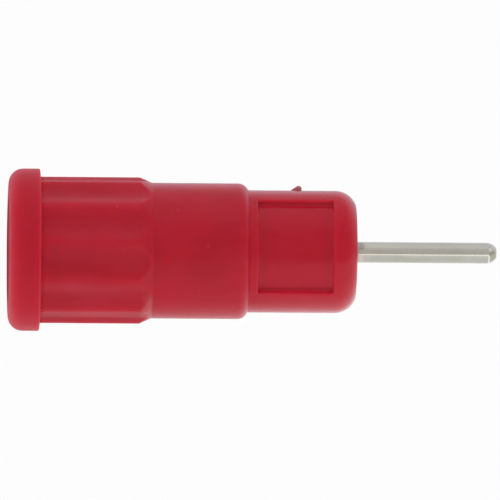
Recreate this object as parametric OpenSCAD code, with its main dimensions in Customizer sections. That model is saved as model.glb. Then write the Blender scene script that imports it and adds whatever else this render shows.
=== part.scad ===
// Insulated 4 mm banana socket, pressed into a round hole in a front panel.
// Millimetres. The socket's axis is X. X = 0 is the back face of the flange, which seats on the panel,
// the plug comes in from -X, and the connection pin points to +X.

/* [Flange] */
// Diameter of the front flange
flange_d = 14.05; // [13.6:0.05:18]
// Thickness of the front flange
flange_t = 2.7; // [2:0.05:4]
// Rounding of the flange's front edge
flange_front_r = 1.25; // [0.3:0.05:1.6]
// Rounding of the flange's back edge
flange_back_r = 0.12; // [0.05:0.01:0.3]

/* [Press-in ribs] */
// Diameter over the crests of the ribs
rib_d = 12.7; // [12.6:0.02:13]
// Width of a rib's crest, as an angle about the axis
rib_land_angle = 4.5; // [2:0.5:7]
// Deep flutes on each side of the middle rib, on both halves of the moulding
deep_flutes = 2; // [1:1:2]
// Angle from one deep flute to the next
flute_pitch = 31.2; // [28:0.1:32]
// Width of a deep flute's floor, as an angle about the axis
flute_floor_angle = 7; // [4:0.5:16]
// Depth of the deep flutes, at the floor's two edges
flute_depth = 0.38; // [0.36:0.02:0.5]
// Depth of the flutes beside the parting lines
side_flute_depth = 0.34; // [0.1:0.02:0.4]
// Width of their floors, as an angle about the axis
side_floor_angle = 12; // [8:0.5:19]
// Length of the full ribs, from the flange to their chamfer
rib_l = 8.65; // [5:0.05:12]
// Length of the chamfer that leads the ribs into the panel hole
rib_chamfer_l = 1.05; // [0.5:0.05:2]

/* [Plain barrel] */
// Diameter of the plain barrel behind the ribs
barrel_d = 11.75; // [11.2:0.05:11.85]
// Length of the plain barrel
barrel_l = 8.4; // [4:0.1:12]
// Rounding of the plain barrel's rear edge
barrel_edge_r = 0.95; // [0.3:0.05:1]

/* [Rear barrel] */
// Diameter of the rear barrel
rear_d = 10.6; // [10:0.05:10.8]
// Length of the rear barrel
rear_l = 9.25; // [8.2:0.05:14]
// Radius of the arc that rounds the rear edge
rear_edge_r = 1.9; // [1.8:0.05:2.4]
// Length of that rounding along the axis
rear_edge_l = 1.75; // [0.8:0.05:1.78]

/* [Sunk window] */
// Length of the sunk window
window_l = 6.55; // [3:0.05:6.8]
// Plain stretch between the step and the window
window_gap = 0.65; // [0.3:0.05:0.9]
// Angle that the window spans about the axis
window_angle = 99; // [40:1:140]
// Depth of the window's floor below the rear barrel
window_depth = 0.45; // [0.2:0.05:0.6]
// Turn of the ribs, window and nub about the axis
moulding_turn = 6.5; // [0:0.5:29]

/* [Moulding nub] */
// Distance from the step to the nub
nub_gap = 3.62; // [1:0.02:5]
// Length of the nub
nub_l = 0.96; // [0.5:0.02:1.6]
// Width of the nub
nub_w = 0.7; // [0.3:0.05:1.2]
// Height of the nub above the rear barrel
nub_h = 0.4; // [0.2:0.02:0.6]

/* [Front recess] */
// Diameter of the recess that takes the plug's insulating sheath
shroud_d = 8.4; // [8.2:0.05:8.8]
// Length of the housing's solid rear, from the recess's floor to the rear face
solid_l = 9; // [7:0.1:9.4]
// Chamfer at the recess's mouth
mouth_chamfer = 0.45; // [0.2:0.05:0.8]

/* [Contact sleeve] */
// Bore that takes the plug's pin
contact_bore_d = 4; // [3.9:0.01:4.1]
// Outside diameter of the contact sleeve
contact_d = 6; // [5.6:0.05:6.3]
// Distance from the front face back to the sleeve's mouth
contact_recess = 5.05; // [4.6:0.05:7]
// Solid metal between the bore's drilled cone and the pin's hole
contact_web = 0.8; // [0.4:0.1:2]
// Tip angle of the drill that made the bore
drill_angle = 118; // [90:1:130]
// Chamfer inside the sleeve's mouth
contact_lead_in = 0.45; // [0.2:0.05:0.8]
// Chamfer on the outside of the sleeve's two ends
contact_edge = 0.25; // [0.1:0.05:0.4]
// Distance from the recess's floor to the retaining barb
barb_gap = 2.2; // [1:0.1:2.6]
// Height of the barb above the sleeve
barb_h = 0.35; // [0.15:0.05:0.6]
// Length of the barb along the axis
barb_l = 1.4; // [0.6:0.1:2]

/* [Connection pin] */
// Diameter of the connection pin
pin_d = 1.8; // [1.3:0.05:1.8]
// Diameter of the pin's thicker seat, inside the sleeve and the housing
pin_seat_d = 2.2; // [2.1:0.05:2.6]
// Length of the pin outside the housing
pin_l = 12.25; // [6:0.05:20]
// Length of the pin pressed into the contact sleeve
pin_grip_l = 2.9; // [1.5:0.1:3]
// Radius of the arc that domes the pin's tip
pin_tip_r = 1.05; // [1.02:0.01:1.2]
// Length of the domed tip
pin_tip_l = 0.88; // [0.4:0.02:0.9]

/* [Fits and walls] */
// Play on each side between the sleeve and the housing
sleeve_play = 0.02; // [0.01:0.01:0.05]
// Play on each side between the pin's seat and the sleeve
pin_play = 0.01; // [0.01:0.01:0.03]
// Play on each side between the pin's seat and the housing
pin_hole_play = 0.05; // [0.02:0.01:0.2]
// Wall of the housing behind the contact sleeve
rear_wall = 1.6; // [1:0.05:2]

/* [Hidden] */

red = "#b0202e";
nickel = "#c9c8c0";
silver = "#b9b8b0";

// Facets of a circle, and an overshoot that lets a cut pass its face
$fn = 96;
over = 0.5;
full_turn = 360;

// Places along the axis
front_x = -flange_t;
rib_end_x = rib_l;
barrel_x = rib_end_x + rib_chamfer_l;
step_x = barrel_x + barrel_l;
rear_x = step_x + rear_l;
shroud_floor_x = rear_x - solid_l;
contact_x = front_x + contact_recess;
contact_rear_x = rear_x - rear_wall;
pin_start_x = contact_rear_x - pin_grip_l;
pin_end_x = rear_x + pin_l;
bore_cone_l = contact_bore_d / 2 / tan(drill_angle / 2);
bore_end_x = pin_start_x - contact_web - bore_cone_l;
window_x = step_x + window_gap;
nub_x = step_x + nub_gap;

// Half the angle between a flute's crest edges, for the deep flutes and for those beside the parting lines,
// and the place of the latter
rib_r = rib_d / 2;
parting_angle = full_turn / 4;
last_rib_angle = deep_flutes * flute_pitch;
deep_half_angle = (flute_pitch - rib_land_angle) / 2;
side_half_angle = (parting_angle - last_rib_angle - rib_land_angle) / 2;
side_flute_angle = (parting_angle + last_rib_angle) / 2;

// Turns a shape drawn along Z so that it lies along X, with its -Y side still facing -Y
module along_x() {
    rotate([0, 90, 0]) children();
}

// Sections below are drawn with the radius along X and the place on the axis along Y

// A rectangle between two places on the axis, from the axis or an inner radius to an outer radius
module ring_section(start, end, outer_r, inner_r = 0) {
    translate([inner_r, start]) square([outer_r - inner_r, end - start]);
}

// What a rounding takes off the outer corner at (r, place). side is 1 where the solid ends there, and -1
// where it starts
module round_off(r, place, arc_r, length, side) {
    translate([r - arc_r, place - side * length])
        mirror([0, side < 0 ? 1 : 0])
            difference() {
                square([arc_r + over, length + over]);
                circle(r = arc_r);
            }
}

module flange_section() {
    difference() {
        ring_section(front_x, 0, flange_d / 2);
        round_off(flange_d / 2, front_x, flange_front_r, flange_front_r, -1);
        round_off(flange_d / 2, 0, flange_back_r, flange_back_r, 1);
    }
}

module rib_section() {
    ring_section(front_x + flange_t / 2, rib_end_x, rib_r);
    polygon([
        [0, rib_end_x],
        [rib_r, rib_end_x],
        [barrel_d / 2, barrel_x],
        [0, barrel_x]
    ]);
}

module barrel_section() {
    difference() {
        ring_section(rib_end_x, step_x, barrel_d / 2);
        round_off(barrel_d / 2, step_x, barrel_edge_r, barrel_edge_r, 1);
    }
}

module rear_section() {
    difference() {
        ring_section(rib_end_x, rear_x, rear_d / 2);
        round_off(rear_d / 2, rear_x, rear_edge_r, rear_edge_l, 1);
    }
}

// A bore with a chamfered mouth that opens towards the front
module bore_section(mouth, floor, r, chamfer) {
    ring_section(mouth - over, floor, r);
    polygon([
        [0, mouth - over],
        [r + chamfer + over, mouth - over],
        [r, mouth + chamfer],
        [0, mouth + chamfer]
    ]);
}

// Outline of the contact sleeve, grown by a play on each side for its seat in the housing. The barb's
// steep face looks at the plug, and its slope leads the sleeve in from the front.
module sleeve_section(play = 0) {
    r = contact_d / 2 + play;
    barb_x = shroud_floor_x + barb_gap;
    barb_land = barb_l / 4;
    polygon([
        [0, contact_x],
        [r - contact_edge, contact_x],
        [r, contact_x + contact_edge],
        [r, barb_x - play],
        [r + barb_h, barb_x - play],
        [r + barb_h, barb_x + barb_land],
        [r, barb_x + barb_l + play],
        [r, contact_rear_x - contact_edge],
        [r - contact_edge, contact_rear_x],
        [0, contact_rear_x]
    ]);
}

// One flute along the ribs, turned from the -Y side: a flat floor, and two flat walls that spread from the
// floor's edges through the crest edges
module flute(turn, half_angle, floor_angle, depth) {
    foot = (rib_r - depth) * [sin(floor_angle / 2), -cos(floor_angle / 2)];
    edge = rib_r * [sin(half_angle), -cos(half_angle)];
    past = edge + (edge - foot);
    rotate([0, 0, turn])
        linear_extrude(barrel_x)
            polygon([
                [-foot.x, foot.y],
                [-past.x, past.y],
                [past.x, past.y],
                [foot.x, foot.y]
            ]);
}

// The parting lines run along the crests of the ribs at the top and the bottom
module flutes() {
    for (half_turn = [0, full_turn / 2], side = [-1, 1]) {
        for (i = [0 : deep_flutes - 1])
            flute(half_turn + side * (i + 0.5) * flute_pitch, deep_half_angle, flute_floor_angle, flute_depth);
        flute(half_turn + side * side_flute_angle, side_half_angle, side_floor_angle, side_flute_depth);
    }
}

// Sunk window on the -Y side, with a floor that follows the barrel and walls that point to the axis
module window() {
    reach = rear_d;
    translate([0, 0, window_x])
        intersection() {
            difference() {
                cylinder(d = rear_d + 2 * over, h = window_l);
                translate([0, 0, -over])
                    cylinder(d = rear_d - 2 * window_depth, h = window_l + 2 * over);
            }
            linear_extrude(window_l)
                polygon([
                    [0, 0],
                    [-reach * tan(window_angle / 2), -reach],
                    [reach * tan(window_angle / 2), -reach]
                ]);
        }
}

// Small moulding nub on the parting line: a slope at the front, a steep face at the rear
module nub() {
    root = 0.3;
    ridge_start = nub_l * 0.63;
    ridge_end = nub_l * 0.86;
    shoulder_h = nub_h * 0.55;
    translate([-rear_d / 2, nub_w / 2, nub_x])
        rotate([90, 0, 0])
            linear_extrude(nub_w)
                polygon([
                    [root, 0],
                    [0, 0],
                    [-nub_h, ridge_start],
                    [-nub_h, ridge_end],
                    [-shoulder_h, nub_l],
                    [root, nub_l]
                ]);
}

module housing() {
    color(red)
        along_x()
            rotate([0, 0, -moulding_turn]) {
                difference() {
                    rotate_extrude()
                        difference() {
                            union() {
                                flange_section();
                                rib_section();
                                barrel_section();
                                rear_section();
                            }
                            bore_section(front_x, shroud_floor_x, shroud_d / 2, mouth_chamfer);
                            sleeve_section(sleeve_play);
                            ring_section(contact_rear_x - over, rear_x + over,
                                pin_seat_d / 2 + pin_hole_play);
                        }
                    flutes();
                    window();
                }
                nub();
            }
}

module contact_sleeve() {
    color(nickel)
        along_x()
            rotate_extrude()
                difference() {
                    sleeve_section();
                    bore_section(contact_x, bore_end_x, contact_bore_d / 2, contact_lead_in);
                    polygon([
                        [0, bore_end_x],
                        [contact_bore_d / 2, bore_end_x],
                        [0, bore_end_x + bore_cone_l]
                    ]);
                    ring_section(pin_start_x, contact_rear_x + over, pin_seat_d / 2 + pin_play);
                }
}

module connection_pin() {
    color(silver)
        along_x()
            rotate_extrude()
                difference() {
                    union() {
                        ring_section(pin_start_x, rear_x, pin_seat_d / 2);
                        ring_section(pin_start_x, pin_end_x, pin_d / 2);
                    }
                    round_off(pin_d / 2, pin_end_x, pin_tip_r, pin_tip_l, 1);
                }
}

housing();
contact_sleeve();
connection_pin();
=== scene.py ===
"""Looks for the red banana socket, in metres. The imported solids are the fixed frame: the socket's axis is X,
X = 0 is the flange's back face, and the photograph looks along +Y."""

import math

import bpy
from mathutils import Matrix, Vector


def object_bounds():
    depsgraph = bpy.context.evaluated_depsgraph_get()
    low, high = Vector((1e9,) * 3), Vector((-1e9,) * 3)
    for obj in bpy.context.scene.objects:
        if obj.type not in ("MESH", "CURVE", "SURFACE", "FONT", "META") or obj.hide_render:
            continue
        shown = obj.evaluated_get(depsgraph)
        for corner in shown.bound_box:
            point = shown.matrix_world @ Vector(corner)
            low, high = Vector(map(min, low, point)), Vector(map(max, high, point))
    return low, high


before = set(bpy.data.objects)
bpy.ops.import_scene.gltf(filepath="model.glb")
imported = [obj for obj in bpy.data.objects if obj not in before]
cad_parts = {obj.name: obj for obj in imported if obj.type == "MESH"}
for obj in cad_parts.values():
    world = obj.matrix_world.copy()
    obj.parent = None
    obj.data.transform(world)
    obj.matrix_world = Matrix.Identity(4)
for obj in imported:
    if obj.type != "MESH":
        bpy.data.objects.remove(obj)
cad_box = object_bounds()

MM = 0.001
WHITE = (1, 1, 1, 1)

# Camera: the photograph's frame is this wide at the socket, and its middle is this point on the socket
FRAME_WIDTH = 43.3 * MM
FRAME_CENTRE = Vector((18.24 * MM, 0, 0.12 * MM))
LENS = 800
SENSOR = 36
CAMERA_YAW = math.radians(-2.6)
CAMERA_ROLL = math.radians(0.44)
CLIP_NEAR = 0.01
CLIP_FAR = 50

# Stage: a white sheet under the socket that ends a little in front of it
FLOOR_Z = -24 * MM
FLOOR_SIDE = 6
FLOOR_FRONT_Y = -62 * MM
FLOOR_WHITE = (0.9, 0.9, 0.9, 1)

# Glow of the sheet: on the socket, for the camera, and in reflections, where it grows between two places on X
FLOOR_GLOW = 0.2
FLOOR_SHOWN = 0.263
FLOOR_SHINE = (0.22, 0.58)
SHINE_PLACES = (14 * MM, 34 * MM)

# Room tones that gloss and metal see, by height from the horizon, 0, to straight up or down, 1
ROOM_FRONT = (
    (0, (0.55, 0.54, 0.49, 1)),
    (0.35, (0.55, 0.54, 0.49, 1)),
    (0.65, (0.5, 0.5, 0.52, 1)),
    (1, (0.32, 0.32, 0.34, 1)),
)
ROOM_BACK = (
    (0, (0.6, 0.6, 0.62, 1)),
    (0.4, (0.76, 0.86, 0.98, 1)),
    (0.6, (0.86, 0.94, 1, 1)),
    (0.88, (0.65, 0.66, 0.71, 1)),
    (1, (0.32, 0.32, 0.34, 1)),
)

# The front tones give way to the back ones between these shares of +Y in a direction
ROOM_SEAM = (-0.3, 0.3)

# The white backdrop behind the socket: its middle, and the cosines of the angles where it fades out
BACKDROP_MIDDLE = (0.045, 0.999, 0)
BACKDROP_FADE = (0.98, 0.997)
BACKDROP_WHITE = (0.983, 0.983, 0.983, 1)

# Dome light: an even white from all sides
DOME_LIGHT = 0.7

# Key light: azimuth and elevation, with azimuth 0 on the camera's side, strength and apparent size
KEY_DIRECTION = (math.radians(-10), math.radians(78))
KEY_STRENGTH = 0.32
KEY_SIZE = math.radians(60)

# Soft panel to the left of the flange
PANEL_PLACE = Vector((-75 * MM, -34 * MM, -2 * MM))
PANEL_TARGET = Vector((10 * MM, 0, 0))
PANEL_SIDE = 70 * MM
PANEL_POWER = 0.007
PANEL_COLOUR = (1, 0.93, 1)

# Places on the axis where the plastic's tone, gloss or softness changes, and how long the changes are
FRONT_FACE_END = cad_box[0][0] + 0.01 * MM
FLANGE_END = 0.2 * MM
RIB_START = 0.3 * MM
RIB_END = 8.6 * MM
CHAMFER_END = 9.66 * MM
STEP_START = 17.3 * MM
REAR_START = 18.02 * MM
WINDOW_START = 18.45 * MM
REAR_END = 26 * MM
FACE_BLEND = 0.03 * MM
RIB_BLEND = 0.1 * MM
WINDOW_BLEND = 0.2 * MM

# Noise patterns: scale on each axis, scale as a whole, and detail
CLOUD = ((1, 1, 1), 220, 3)
BLOOM = ((0.3, 1, 1), 900, 3)
GRAIN = ((0.4, 1, 1), 1100, 1)
TIN_CLOUD = ((1, 1, 1), 400, 3)
TIN_LINES = ((0.03, 1, 1), 5000, 4)
NICKEL_RINGS = ((1, 0.02, 0.02), 9000, 3)

# The values of a noise between which it takes effect, from nothing to all
NOISE_LIMITS = (0.3, 0.7)
CLOUD_LIMITS = (0.35, 0.65)
BLOOM_LIMITS = (0.45, 0.7)
LINE_LIMITS = (0.35, 0.6)

# Plastic: its two clouded reds, its paler bloom, a brighter red towards the rear that is painted light, and
# the flange's with its share
RED = (0.54, 0.0048, 0.0255, 1)
DEEP_RED = (0.484, 0.0038, 0.0215, 1)
BLOOM_RED = (0.528, 0.0088, 0.033, 1)
REAR_LIGHT_RED = (0.54, 0.0045, 0.026, 1)
FLANGE_RED = (0.525, 0.0022, 0.023, 1)
FLANGE_SHARE = 0.8

# Painted shade in the front recess, a painted sheen on its chamfered mouth, and a painted shade line on the
# rim round that: tones, and how far from the axis each reaches
RECESS_SHADE_RED = (0.3, 0.003, 0.012, 1)
MOUTH_SHEEN_PINK = (0.38, 0.05, 0.065, 1)
RIM_SHADE_RED = (0.16, 0.003, 0.01, 1)
RECESS_R = 4.21 * MM
MOUTH_R = 4.57 * MM
RIM_R = 4.66 * MM

# Bands of painted light round the socket: a painted highlight on the flange's back edge, and painted light in
# the creases by the flange, at the foot of the ribs' chamfer and at the step: start, peak and end on the axis
# in millimetres, and colour
CREASE_LIGHT_RED = (0.63, 0.0052, 0.03, 1)
EDGE_HIGHLIGHT_PINK = (0.54, 0.021, 0.045, 1)
CHAMFER_FOOT_LIGHT_RED = (0.565, 0.0052, 0.028, 1)
LIGHT_BANDS = (
    (-0.22, -0.08, 0, EDGE_HIGHLIGHT_PINK),
    (0, 0.03, 1.1, CREASE_LIGHT_RED),
    (9.2, 9.56, 9.85, CHAMFER_FOOT_LIGHT_RED),
    (17.9, 18.05, 18.4, CREASE_LIGHT_RED),
)

# A painted highlight on the lower side of the ribs' chamfer: its band as above, and the heights between which
# it sets in
CHAMFER_HIGHLIGHT_PINK = (0.57, 0.072, 0.086, 1)
CHAMFER_BAND = (8.75, 9.5, 9.78)
CHAMFER_HEIGHTS = (-3.6 * MM, -4.3 * MM)

# Painted light over the shade at the foot of the window's walls: between these distances from the axis, over
# this stretch of the axis
WALL_FOOT_LIGHT_RED = (0.62, 0.01, 0.036, 1)
WALL_RADII = (4.86 * MM, 5.04 * MM)
WALL_STRETCH = (18.7 * MM, 25.35 * MM)

# Painted shade on the window's upper wall: its distances from the axis, and the height above which it lies
UPPER_WALL_SHADE_RED = (0.5, 0.007, 0.027, 1)
UPPER_WALL_RADII = (4.87 * MM, 5.27 * MM)
UPPER_WALL_FOOT = 3.9 * MM

# Painted light along the window floor's edges, over the shade by its walls: axis, where each starts and is
# full in millimetres, and its share
FLOOR_EDGE_LIGHT_RED = (0.68, 0.014, 0.042, 1)
WINDOW_FLOOR_LIGHT_EDGES = (
    ("Z", 3.7, 3.95, 0.8),
    ("Z", -2.95, -3.15, 0.2),
    ("X", 19.2, 18.85, 0.6),
    ("X", 24.75, 25.2, 0.45),
)

# A painted sheen on the nub: where it starts on the axis, and how high above the axis
NUB_SHEEN_PINK = (0.34, 0.17, 0.21, 1)
NUB_START = 20 * MM
NUB_FOOT = 5.32 * MM

# The plastic's mirror strength, its faint sheen, and how deep and how far in each colour light spreads in it
PLASTIC_SPECULAR = 0.24
SHEEN = 0.06
SHEEN_TINT = (0.1, 0.8, 1, 1)
GLOW_DEPTH = 2 * MM
GLOW_SPREAD = (1, 0.07, 0.1)

# Roughness of the plastic. With its grain it keeps clear of 0.27, near which denoised renders show specks
FRONT_ROUGHNESS = 0.75
FLANGE_ROUGHNESS = 0.52
RIB_ROUGHNESS = 0.42
BARREL_ROUGHNESS = 0.3
REAR_FOOT_ROUGHNESS = 0.24
REAR_ROUGHNESS = 0.18
ROUGHNESS_GRAIN = 0.02

# Where that roughness changes along the axis: the start and end of each change, and the roughness after it
GLOSS_CHANGES = (
    (FRONT_FACE_END, FRONT_FACE_END + FACE_BLEND, FLANGE_ROUGHNESS),
    (0, FLANGE_END, RIB_ROUGHNESS),
    (RIB_END, RIB_END + RIB_BLEND, BARREL_ROUGHNESS),
    (REAR_START, REAR_START + FACE_BLEND, REAR_FOOT_ROUGHNESS),
    (REAR_START + FACE_BLEND, REAR_END, REAR_ROUGHNESS),
)

# Radius that softens the edges on the ribs, on their chamfer and round the window
RIB_SOFTNESS = 0.8 * MM
CHAMFER_SOFTNESS = 0.45 * MM
WINDOW_SOFTNESS = 0.34 * MM
BEVEL_SAMPLES = 8

# Specks and pale marks on the camera's side of the plastic: X, Z and radius in millimetres, and colour
DARK_SPECK = (0.14, 0.003, 0.008, 1)
FAINT_SPECK = (0.36, 0.004, 0.018, 1)
PALE_MARK = (0.56, 0.03, 0.05, 1)
MARKS = (
    (8.53, -0.59, 0.07, DARK_SPECK),
    (8.97, -0.59, 0.05, DARK_SPECK),
    (8.53, 2.0, 0.07, DARK_SPECK),
    (8.62, 0.8, 0.05, DARK_SPECK),
    (8.53, -3.45, 0.06, DARK_SPECK),
    (9.2, -3.97, 0.05, DARK_SPECK),
    (0.82, -2.8, 0.1, PALE_MARK),
    (0.3, -3.85, 0.08, DARK_SPECK),
    (6.54, 3.8, 0.12, PALE_MARK),
    (11.8, 3.5, 0.14, PALE_MARK),
    (7.06, 0, 0.1, PALE_MARK),
    (17.32, 1.16, 0.06, FAINT_SPECK),
    (11.1, 0.77, 0.1, FAINT_SPECK),
    (14.36, 0.42, 0.14, PALE_MARK),
    (13.6, -3.4, 0.12, PALE_MARK),
)

# A mark is full within this share of its radius, and there it covers this share of what is under it
MARK_CORE = 0.5
MARK_SHARE = 0.8

# The pin's tin, darker below and lighter above as painted shading, and clouded: the heights between which that
# changes, and the clouds' part in it
TIN = (0.62, 0.6, 0.545, 1)
DARKER_TIN = (0.41, 0.415, 0.37, 1)
TIN_HEIGHTS = (-0.5 * MM, 0.3 * MM)
TIN_CLOUDING = (-0.25, 0.25)
TIN_METALLIC = 0.6
TIN_ROUGHNESS = (0.24, 0.32)

# The pin's root: brighter over one stretch of the axis, and pinkish over a shorter one
ROOT_TINT = (1.15, 1.2, 1.2, 1)
ROOT_STRETCH = (27.3 * MM, 32 * MM)
ROOT_PINK = (0.66, 0.365, 0.325, 1)
PINK_STRETCH = (27.45 * MM, 27.75 * MM)

# Marks on the pin, as on the plastic; the bright one near the tip is a painted highlight
PALE_TIN = (0.66, 0.67, 0.6, 1)
OLIVE_TIN = (0.36, 0.36, 0.28, 1)
HIGHLIGHT_TIN = (0.95, 0.93, 0.8, 1)
TIN_MARKS = (
    (27.85, 0.5, 0.4, DARKER_TIN),
    (27.75, -0.55, 0.4, PALE_TIN),
    (31.36, -0.41, 0.09, OLIVE_TIN),
    (39.25, -0.15, 0.4, OLIVE_TIN),
    (39.3, -0.4, 0.4, OLIVE_TIN),
    (39.05, 0.3, 0.22, HIGHLIGHT_TIN),
)

# Painted glints on the pin: a bright line along it, of uneven strength, and a short one across its tip
LINE_WIDTH = 0.075 * MM
LINE_STRENGTHS = (0.85, 1)
GLINT_LINE_Z = -0.19 * MM
TIP_GLINT_X = 38.94 * MM
TIP_GLINT_TOP = -0.25 * MM

# The sleeve's nickel
NICKEL = (0.68, 0.66, 0.6, 1)
NICKEL_METALLIC = 1.0
NICKEL_ROUGHNESS = (0.16, 0.28)

# Fine relief, and its strength on the plastic and on the metals
RELIEF = 0.01 * MM
PLASTIC_RELIEF_STRENGTH = 0.05
METAL_RELIEF_STRENGTH = 0.4

# Places of the colour inputs and the colour output on Blender's Mix node
MIX_A = 6
MIX_B = 7
MIX_RESULT = 2


class Nodes:
    """A material's or world's node tree, with short calls to add and link nodes."""

    def __init__(self, owner):
        owner.use_nodes = True
        self.tree = owner.node_tree
        self.tree.nodes.clear()

    def add(self, kind, inputs=None, **settings):
        """A new node with its settings. Each input, by name or place, is linked or set to a plain value."""
        node = self.tree.nodes.new(kind)
        for name, value in settings.items():
            setattr(node, name, value)
        for name, value in (inputs or {}).items():
            if isinstance(value, bpy.types.NodeSocket):
                self.tree.links.new(value, node.inputs[name])
            else:
                node.inputs[name].default_value = value
        return node

    def math(self, operation, a, b=0.0, clamp=False):
        node = self.add("ShaderNodeMath", {0: a, 1: b}, operation=operation, use_clamp=clamp)
        return node.outputs[0]

    def product(self, result, *factors):
        for factor in factors:
            result = self.math("MULTIPLY", result, factor)
        return result

    def total(self, result, *parts):
        for part in parts:
            result = self.math("ADD", result, part)
        return result

    def diagonal(self, a, b):
        return self.math("SQRT", self.total(self.product(a, a), self.product(b, b)))

    def between(self, value, low, high):
        """1 where a value is between two others."""
        return self.product(self.math("GREATER_THAN", value, low), self.math("LESS_THAN", value, high))

    def stretch(self, value, low, high, to_low=0.0, to_high=1.0):
        """Maps the range from low to high onto another, and holds its ends beyond."""
        node = self.add("ShaderNodeMapRange", {
            "Value": value, "From Min": low, "From Max": high, "To Min": to_low, "To Max": to_high})
        return node.outputs["Result"]

    def ramp(self, factor, stops):
        node = self.add("ShaderNodeValToRGB", {0: factor})
        elements = node.color_ramp.elements
        while len(elements) < len(stops):
            elements.new(1)
        for element, (place, colour) in zip(elements, stops):
            element.position = place
            element.color = colour
        return node.outputs["Color"]

    def mix(self, factor, a, b):
        node = self.add("ShaderNodeMix", {"Factor": factor, MIX_A: a, MIX_B: b}, data_type="RGBA")
        return node.outputs[MIX_RESULT]

    def painted(self, colour, layers):
        """A colour with each layer's tone laid over it by that layer's mask."""
        for mask, tone in layers:
            colour = self.mix(mask, colour, tone)
        return colour

    def place(self):
        return self.add("ShaderNodeTexCoord").outputs["Object"]

    def axes(self):
        return self.add("ShaderNodeSeparateXYZ", {0: self.place()}).outputs

    def noise(self, axis_scale, scale, detail):
        place = self.add("ShaderNodeMapping", {"Vector": self.place(), "Scale": axis_scale}).outputs[0]
        texture = self.add("ShaderNodeTexNoise", {"Vector": place, "Scale": scale, "Detail": detail})
        return texture.outputs["Fac"]


def seen_ray(nodes):
    """1 for camera, glossy and transmission rays, which see the backdrop, and 0 for the light."""
    path = nodes.add("ShaderNodeLightPath").outputs
    both = nodes.math("MAXIMUM", path["Is Camera Ray"], path["Is Glossy Ray"])
    return nodes.math("MAXIMUM", both, path["Is Transmission Ray"])


def make_world():
    """White for the camera, a plain dome for the light, and a room with a white backdrop for reflections."""
    world = bpy.data.worlds.new("pale_backdrop")
    bpy.context.scene.world = world
    nodes = Nodes(world)
    direction = nodes.add("ShaderNodeTexCoord").outputs["Generated"]
    axes = nodes.add("ShaderNodeSeparateXYZ", {0: direction}).outputs
    height = nodes.math("ABSOLUTE", axes["Z"])
    behind = nodes.stretch(axes["Y"], *ROOM_SEAM)
    room = nodes.mix(behind, nodes.ramp(height, ROOM_FRONT), nodes.ramp(height, ROOM_BACK))
    towards = nodes.add("ShaderNodeVectorMath", {0: direction, 1: BACKDROP_MIDDLE}, operation="DOT_PRODUCT")
    sheet = nodes.stretch(towards.outputs["Value"], *BACKDROP_FADE)
    path = nodes.add("ShaderNodeLightPath").outputs
    white = nodes.math("MAXIMUM", sheet, path["Is Camera Ray"])
    tone = nodes.mix(white, room, BACKDROP_WHITE)
    backdrop = nodes.add("ShaderNodeBackground", {"Color": tone, "Strength": 1.0})
    dome = nodes.add("ShaderNodeBackground", {"Color": WHITE, "Strength": DOME_LIGHT})
    mixed = nodes.add("ShaderNodeMixShader", {
        0: seen_ray(nodes), 1: dome.outputs[0], 2: backdrop.outputs[0]})
    nodes.add("ShaderNodeOutputWorld", {"Surface": mixed.outputs[0]})


def floor_material():
    """White, with a slight glow as of a lit sheet, and clear from below."""
    material = bpy.data.materials.new("pale_floor")
    nodes = Nodes(material)
    white = nodes.add("ShaderNodeBsdfDiffuse", {"Color": FLOOR_WHITE})
    shine = nodes.stretch(nodes.axes()["X"], *SHINE_PLACES, *FLOOR_SHINE)
    path = nodes.add("ShaderNodeLightPath").outputs
    shown = nodes.stretch(path["Is Camera Ray"], 0, 1, FLOOR_GLOW, FLOOR_SHOWN)
    strength = nodes.stretch(path["Is Glossy Ray"], 0, 1, shown, shine)
    glow = nodes.add("ShaderNodeEmission", {"Strength": strength})
    lit = nodes.add("ShaderNodeAddShader", {0: white.outputs[0], 1: glow.outputs[0]})
    clear = nodes.add("ShaderNodeBsdfTransparent")
    below = nodes.add("ShaderNodeNewGeometry").outputs["Backfacing"]
    surface = nodes.add("ShaderNodeMixShader", {0: below, 1: lit.outputs[0], 2: clear.outputs[0]})
    nodes.add("ShaderNodeOutputMaterial", {"Surface": surface.outputs[0]})
    return material


def make_floor():
    half = FLOOR_SIDE / 2
    mesh = bpy.data.meshes.new("floor")
    corners = [
        (-half, FLOOR_FRONT_Y, FLOOR_Z),
        (half, FLOOR_FRONT_Y, FLOOR_Z),
        (half, half, FLOOR_Z),
        (-half, half, FLOOR_Z),
    ]
    mesh.from_pydata(corners, [], [(0, 1, 2, 3)])
    mesh.materials.append(floor_material())
    floor = bpy.data.objects.new("floor", mesh)
    bpy.context.scene.collection.objects.link(floor)


def direction_from(azimuth, elevation):
    """Unit vector from the socket towards a place round it."""
    return Vector((
        math.sin(azimuth) * math.cos(elevation),
        -math.cos(azimuth) * math.cos(elevation),
        math.sin(elevation)))


def make_lamp(name, light, place, towards):
    lamp = bpy.data.objects.new(name, light)
    lamp.location = place
    lamp.rotation_mode = "QUATERNION"
    lamp.rotation_quaternion = towards.to_track_quat("-Z", "Y")
    bpy.context.scene.collection.objects.link(lamp)


def make_lamps():
    key = bpy.data.lights.new("key_light", "SUN")
    key.energy = KEY_STRENGTH
    key.angle = KEY_SIZE
    place = direction_from(*KEY_DIRECTION)
    make_lamp("key_light", key, place, -place)
    panel = bpy.data.lights.new("left_panel", "AREA")
    panel.size = PANEL_SIDE
    panel.energy = PANEL_POWER
    panel.color = PANEL_COLOUR
    make_lamp("left_panel", panel, PANEL_PLACE, PANEL_TARGET - PANEL_PLACE)


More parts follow.
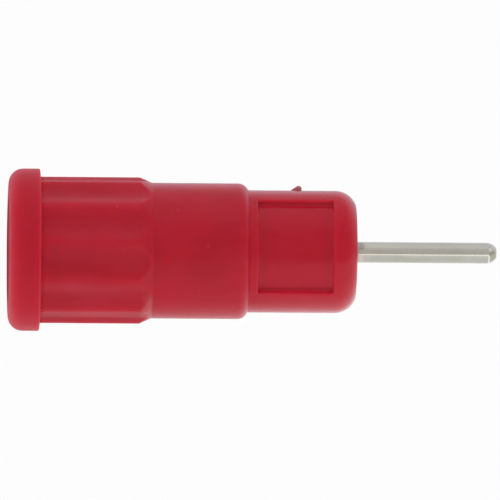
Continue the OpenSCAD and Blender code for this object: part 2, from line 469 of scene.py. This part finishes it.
def make_camera():
    data = bpy.data.cameras.new("photo_camera")
    data.lens = LENS
    data.sensor_width = SENSOR
    data.clip_start = CLIP_NEAR
    data.clip_end = CLIP_FAR
    camera = bpy.data.objects.new("photo_camera", data)
    back = direction_from(CAMERA_YAW, 0)
    turned = (-back).to_track_quat("-Z", "Y").to_matrix().to_4x4()
    roll = Matrix.Rotation(CAMERA_ROLL, 4, "Z")
    distance = FRAME_WIDTH * LENS / SENSOR
    camera.matrix_world = Matrix.Translation(FRAME_CENTRE + back * distance) @ turned @ roll
    bpy.context.scene.collection.objects.link(camera)
    bpy.context.scene.camera = camera


def from_axis(nodes, axes):
    """Distance from the socket's axis."""
    return nodes.diagonal(axes["Y"], axes["Z"])


def mark_mask(nodes, axes, x, z, radius):
    """The share of a soft-edged round mark on the camera's side of the socket."""
    across = nodes.math("SUBTRACT", axes["X"], x * MM)
    up = nodes.math("SUBTRACT", axes["Z"], z * MM)
    near = nodes.stretch(nodes.diagonal(across, up), radius * MM, radius * MARK_CORE * MM, 0, MARK_SHARE)
    return nodes.product(near, nodes.math("LESS_THAN", axes["Y"], 0))


def mark_layers(nodes, axes, marks):
    """The mask and tone of each mark in a table."""
    return [(mark_mask(nodes, axes, x, z, radius), tone) for x, z, radius, tone in marks]


def band_mask(nodes, axes, start, peak, end):
    """1 at a place on the axis, fading out to the start and the end."""
    rise = nodes.stretch(axes["X"], start * MM, peak * MM)
    return nodes.math("MINIMUM", rise, nodes.stretch(axes["X"], peak * MM, end * MM, 1, 0))


def recess_mask(nodes, axes, radius):
    """1 nearer the axis than a radius, ahead of the step: on the front recess and its mouth."""
    inside = nodes.math("LESS_THAN", from_axis(nodes, axes), radius)
    return nodes.product(inside, nodes.math("LESS_THAN", axes["X"], STEP_START))


def chamfer_highlight_mask(nodes, axes):
    """1 on the lower side of the ribs' chamfer, where a highlight is painted."""
    lower = nodes.stretch(axes["Z"], *CHAMFER_HEIGHTS)
    return nodes.product(lower, band_mask(nodes, axes, *CHAMFER_BAND))


def wall_foot_light_mask(nodes, axes):
    """1 at the foot of the sunk window's walls, where light is painted over the shade."""
    deep = nodes.between(from_axis(nodes, axes), *WALL_RADII)
    return nodes.product(deep, nodes.between(axes["X"], *WALL_STRETCH))


def upper_wall_shade_mask(nodes, axes):
    """1 on the sunk window's upper wall, where shade is painted."""
    wall = nodes.between(from_axis(nodes, axes), *UPPER_WALL_RADII)
    above = nodes.math("GREATER_THAN", axes["Z"], UPPER_WALL_FOOT)
    return nodes.product(wall, above, nodes.between(axes["X"], *WALL_STRETCH))


def floor_edge_light_mask(nodes, axes):
    """The share of the painted light along the four edges of the window's floor."""
    share = 0.0
    for axis, start, end, most in WINDOW_FLOOR_LIGHT_EDGES:
        share = nodes.math("MAXIMUM", share, nodes.stretch(axes[axis], start * MM, end * MM, 0, most))
    floor = nodes.math("LESS_THAN", from_axis(nodes, axes), WALL_RADII[0])
    return nodes.product(share, floor, nodes.between(axes["X"], *WALL_STRETCH))


def nub_mask(nodes, axes):
    """1 on the nub, which alone stands out from the rear barrel."""
    out = nodes.math("GREATER_THAN", nodes.math("ABSOLUTE", axes["Z"]), NUB_FOOT)
    return nodes.product(out, nodes.math("GREATER_THAN", axes["X"], NUB_START))


def clouded_red(nodes, axes):
    """The plastic's clouded reds, with painted light making the rear brighter, before what stands out on
    single features.
    """
    clouds = nodes.stretch(nodes.noise(*CLOUD), *CLOUD_LIMITS)
    blooms = nodes.stretch(nodes.noise(*BLOOM), *BLOOM_LIMITS)
    # Painted light: the red brightens towards the rear
    rear_light = nodes.stretch(axes["X"], STEP_START, REAR_END)
    flange = nodes.product(nodes.math("LESS_THAN", axes["X"], FLANGE_END), FLANGE_SHARE)
    return nodes.painted(DEEP_RED, (
        (clouds, RED),
        (blooms, BLOOM_RED),
        (rear_light, REAR_LIGHT_RED),
        (flange, FLANGE_RED),
    ))


def plastic_colour(nodes, axes):
    colour = clouded_red(nodes, axes)
    # Painted highlight on the flange's back edge and painted light in the creases, band by band
    colour = nodes.painted(colour, [(band_mask(nodes, axes, *places), tone) for *places, tone in LIGHT_BANDS])
    # Painted highlight on the chamfer, painted light at the window's wall feet and floor edges, painted shade
    # on its upper wall and in the front recess, and a painted sheen on the recess's mouth and on the nub
    colour = nodes.painted(colour, (
        (chamfer_highlight_mask(nodes, axes), CHAMFER_HIGHLIGHT_PINK),
        (wall_foot_light_mask(nodes, axes), WALL_FOOT_LIGHT_RED),
        (upper_wall_shade_mask(nodes, axes), UPPER_WALL_SHADE_RED),
        (floor_edge_light_mask(nodes, axes), FLOOR_EDGE_LIGHT_RED),
        (recess_mask(nodes, axes, RIM_R), RIM_SHADE_RED),
        (recess_mask(nodes, axes, MOUTH_R), MOUTH_SHEEN_PINK),
        (recess_mask(nodes, axes, RECESS_R), RECESS_SHADE_RED),
        (nub_mask(nodes, axes), NUB_SHEEN_PINK),
    ))
    return nodes.painted(colour, mark_layers(nodes, axes, MARKS))


def plastic_roughness(nodes, axes, grain):
    """Matt on the front face, and glossier from the flange to the rear, with a fine grain."""
    level = FRONT_ROUGHNESS
    before = FRONT_ROUGHNESS
    for start, end, after in GLOSS_CHANGES:
        level = nodes.total(level, nodes.stretch(axes["X"], start, end, 0, after - before))
        before = after
    return nodes.total(level, nodes.stretch(grain, *NOISE_LIMITS, -ROUGHNESS_GRAIN, ROUGHNESS_GRAIN))


def edge_softness(nodes, axes):
    """Radius that softens the edges on the ribs, on their chamfer, and from the window to the rear."""
    ribs = nodes.product(nodes.between(axes["X"], RIB_START, RIB_END), RIB_SOFTNESS)
    chamfer = nodes.product(nodes.between(axes["X"], RIB_END, CHAMFER_END), CHAMFER_SOFTNESS)
    window = nodes.stretch(axes["X"], WINDOW_START, WINDOW_START + WINDOW_BLEND, 0, WINDOW_SOFTNESS)
    return nodes.total(ribs, chamfer, window)


def red_plastic():
    material = bpy.data.materials.new("red_plastic")
    nodes = Nodes(material)
    axes = nodes.axes()
    grain = nodes.noise(*GRAIN)
    edges = nodes.add("ShaderNodeBevel", {"Radius": edge_softness(nodes, axes)}, samples=BEVEL_SAMPLES)
    bump = nodes.add("ShaderNodeBump", {
        "Height": grain,
        "Distance": RELIEF,
        "Strength": PLASTIC_RELIEF_STRENGTH,
        "Normal": edges.outputs[0],
    })
    shader = nodes.add("ShaderNodeBsdfPrincipled", {
        "Base Color": plastic_colour(nodes, axes),
        "Roughness": plastic_roughness(nodes, axes, grain),
        "Normal": bump.outputs[0],
        "Specular IOR Level": PLASTIC_SPECULAR,
        "Subsurface Weight": 1.0,
        "Subsurface Radius": GLOW_SPREAD,
        "Subsurface Scale": GLOW_DEPTH,
        "Sheen Weight": SHEEN,
        "Sheen Tint": SHEEN_TINT,
    })
    nodes.add("ShaderNodeOutputMaterial", {"Surface": shader.outputs[0]})
    return material


def metal_surface(nodes, colour, metallic, lines, roughness):
    """Metal whose fine lines stand out a little and change its roughness."""
    bump = nodes.add("ShaderNodeBump", {
        "Height": lines, "Distance": RELIEF, "Strength": METAL_RELIEF_STRENGTH})
    shader = nodes.add("ShaderNodeBsdfPrincipled", {
        "Base Color": colour,
        "Metallic": metallic,
        "Roughness": nodes.stretch(lines, *NOISE_LIMITS, *roughness),
        "Normal": bump.outputs[0],
    })
    nodes.add("ShaderNodeOutputMaterial", {"Surface": shader.outputs[0]})


def bright_line(nodes, value, middle):
    """1 where a value is at a line's middle, fading out to its width on both sides."""
    off = nodes.math("ABSOLUTE", nodes.math("SUBTRACT", value, middle))
    return nodes.stretch(off, LINE_WIDTH, 0)


def tin_glints(nodes, axes, cloud):
    """1 where glints are painted: along the pin, uneven and up to the tip, and across the tip."""
    before_tip = nodes.math("LESS_THAN", axes["X"], TIP_GLINT_X)
    uneven = nodes.stretch(cloud, *LINE_LIMITS, *LINE_STRENGTHS)
    along = nodes.product(bright_line(nodes, axes["Z"], GLINT_LINE_Z), before_tip, uneven)
    below_top = nodes.math("LESS_THAN", axes["Z"], TIP_GLINT_TOP)
    across = nodes.product(bright_line(nodes, axes["X"], TIP_GLINT_X), below_top)
    facing = nodes.math("LESS_THAN", axes["Y"], 0)
    return nodes.product(nodes.math("MAXIMUM", along, across), facing)


def tin_colour(nodes, axes):
    cloud = nodes.noise(*TIN_CLOUD)
    # Painted shading: the tin is darker below and lighter above, mixed with its clouds
    height = nodes.stretch(axes["Z"], *TIN_HEIGHTS)
    shade = nodes.math("ADD", height, nodes.stretch(cloud, *NOISE_LIMITS, *TIN_CLOUDING), clamp=True)
    tint = nodes.mix(nodes.stretch(axes["X"], *ROOT_STRETCH, 1, 0), WHITE, ROOT_TINT)
    shaded_and_clouded = nodes.mix(shade, DARKER_TIN, TIN)
    colour = nodes.add("ShaderNodeVectorMath", {0: shaded_and_clouded, 1: tint}, operation="MULTIPLY").outputs[0]
    colour = nodes.painted(colour, mark_layers(nodes, axes, TIN_MARKS))
    return nodes.painted(colour, (
        (tin_glints(nodes, axes, cloud), HIGHLIGHT_TIN),
        (nodes.stretch(axes["X"], *PINK_STRETCH, 1, 0), ROOT_PINK),
    ))


def drawn_tin():
    material = bpy.data.materials.new("drawn_tin")
    nodes = Nodes(material)
    colour = tin_colour(nodes, nodes.axes())
    metal_surface(nodes, colour, TIN_METALLIC, nodes.noise(*TIN_LINES), TIN_ROUGHNESS)
    return material


def turned_nickel():
    material = bpy.data.materials.new("turned_nickel")
    nodes = Nodes(material)
    metal_surface(nodes, NICKEL, NICKEL_METALLIC, nodes.noise(*NICKEL_RINGS), NICKEL_ROUGHNESS)
    return material


def dress(node, material):
    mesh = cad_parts[node].data
    for i in range(len(mesh.materials)):
        mesh.materials[i] = material


bpy.context.scene.view_settings.view_transform = "Standard"
make_camera()
make_world()
make_floor()
make_lamps()
dress("housing", red_plastic())
dress("connection_pin", drawn_tin())
dress("contact_sleeve", turned_nickel())
